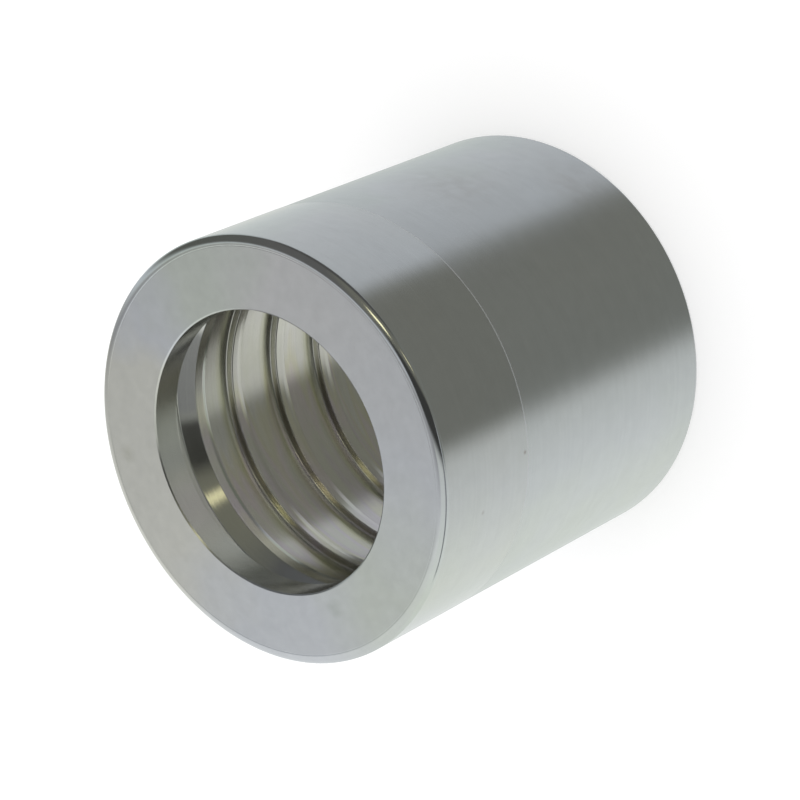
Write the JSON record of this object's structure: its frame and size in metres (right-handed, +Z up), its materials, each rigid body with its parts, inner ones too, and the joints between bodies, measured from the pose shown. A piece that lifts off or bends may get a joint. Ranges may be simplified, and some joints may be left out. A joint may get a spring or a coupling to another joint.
{
  "type": "crimp hose ferrule",
  "caption": "Turned steel sleeve crimped over a hydraulic hose: a locking collar and shoulder at one end, gripping teeth inside, and an open end for the hose.",
  "frame": {"origin": "centre of the hose-end face, on the surface that the part stands on", "axes": "+Z up along the bore axis, from the hose end to the collar face; X and Y are free, because the piece is round"},
  "size_m": [0.066, 0.066, 0.065],
  "materials": {
    "zinc_plated_steel": "turned, zinc plated and clear passivated, with fine turning marks round the axis"
  },
  "bodies": {
    "root": {"ferrule": "zinc_plated_steel"}
  },
  "joints": []
}
